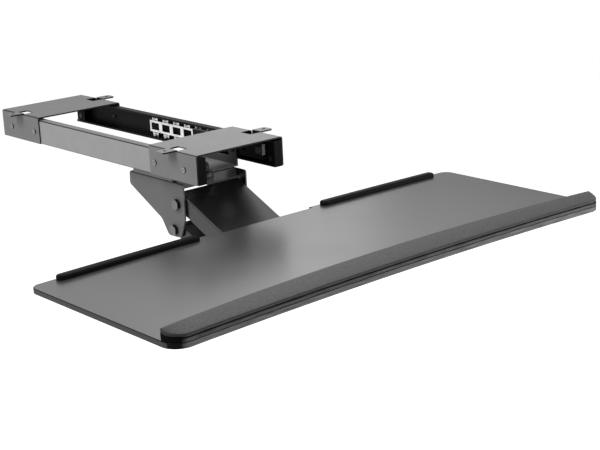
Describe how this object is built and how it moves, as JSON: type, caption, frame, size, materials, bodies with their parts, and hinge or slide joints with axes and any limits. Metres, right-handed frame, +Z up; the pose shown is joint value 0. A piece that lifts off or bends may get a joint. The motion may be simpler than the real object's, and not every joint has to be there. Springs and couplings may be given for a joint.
{
  "type": "sliding keyboard tray",
  "caption": "Under-desk keyboard tray on a ball bearing slide, with a swivelling, height-adjusting, tilting arm, padded palm rest and rear stops.",
  "frame": {"origin": "centre of the four desk screw holes, on the lugs' top face that meets the desk", "axes": "+X to the user's right, +Y away from the user along the slides, +Z up"},
  "size_m": [0.684, 0.792, 0.1772],
  "materials": {
    "black_steel": "satin powder coat",
    "arm_steel": "semi-gloss black",
    "rail_steel": "satin",
    "dark_fastener": "black oxide",
    "galvanised_steel": "bright zinc",
    "ball_steel": "polished",
    "slip_plastic": "matte",
    "black_plastic": "matte",
    "laminate": "satin laminate",
    "edge_plastic": "satin",
    "pad_plastic": "fine grain",
    "pad_leather": "fine grain"
  },
  "bodies": {
    "frame": {"front_bracket": "black_steel", "rear_bracket": "black_steel", "left_rail": "rail_steel", "right_rail": "rail_steel", "bracket_screws": "dark_fastener", "rear_stop_blocks": "black_plastic", "front_stop_blocks": "black_plastic", "stop_rivets": "dark_fastener"},
    "ball_cages": {"left_ball_cage": "galvanised_steel", "right_ball_cage": "galvanised_steel", "bearing_balls": "ball_steel"},
    "carriage": {"left_runner": "rail_steel", "right_runner": "rail_steel", "carriage": "black_steel", "runner_screws": "dark_fastener", "runner_catches": "galvanised_steel"},
    "arm_base": {"arm_base": "black_steel", "friction_disc": "slip_plastic", "swivel_bolt": "dark_fastener", "swivel_nut": "dark_fastener", "rear_pivot_bolts": "dark_fastener", "rear_pivot_nuts": "dark_fastener", "pivot_washers": "slip_plastic", "rear_spacers": "galvanised_steel"},
    "upper_arm": {"upper_arm": "arm_steel"},
    "lower_arm": {"lower_arm": "arm_steel"},
    "head": {"left_head_plate": "arm_steel", "right_head_plate": "arm_steel", "front_spacers": "galvanised_steel", "front_pivot_bolts": "dark_fastener", "front_pivot_nuts": "dark_fastener", "tilt_bolt": "dark_fastener"},
    "tilt_knob": {"tilt_knob": "black_plastic"},
    "tray": {"tray_bracket": "arm_steel", "tray_board": "laminate", "edge_strip": "edge_plastic", "palm_base": "pad_plastic", "palm_pad": "pad_leather", "left_stop": "pad_plastic", "right_stop": "pad_plastic", "tray_screws": "dark_fastener"}
  },
  "joints": [
    {"name": "slide", "type": "slide", "parent": "frame", "child": "carriage", "axis": [0, 1, 0], "range_m": [0, 0.25]},
    {"name": "cage_slide", "type": "slide", "parent": "frame", "child": "ball_cages", "axis": [0, 1, 0], "range_m": [0, 0.125]},
    {"name": "swivel", "type": "hinge", "parent": "carriage", "child": "arm_base", "pos_m": [0, -0.16, -0.051], "axis": [0, 0, 1], "range_deg": [-30, 30]},
    {"name": "height", "type": "hinge", "parent": "arm_base", "child": "upper_arm", "pos_m": [0, -0.168, -0.08], "axis": [-1, 0, 0], "range_deg": [0, 13]},
    {"name": "lower_link", "type": "hinge", "parent": "arm_base", "child": "lower_arm", "pos_m": [0, -0.1594, -0.1164], "axis": [-1, 0, 0], "range_deg": [0, 13]},
    {"name": "head_level", "type": "hinge", "parent": "upper_arm", "child": "head", "pos_m": [0, -0.28175, -0.13184], "axis": [-1, 0, 0], "range_deg": [-13, 0]},
    {"name": "tilt", "type": "hinge", "parent": "head", "child": "tray", "pos_m": [0, -0.30615, -0.12704], "axis": [-1, 0, 0], "range_deg": [-15, 4]},
    {"name": "knob_turn", "type": "hinge", "parent": "head", "child": "tilt_knob", "pos_m": [0.067, -0.30615, -0.12704], "axis": [1, 0, 0], "range_deg": [-180, 180]}
  ],
  "couplings": [
    {"joint": "cage_slide", "follows": "slide", "ratio": 0.5},
    {"joint": "lower_link", "follows": "height", "ratio": 1},
    {"joint": "head_level", "follows": "height", "ratio": -1}
  ]
}
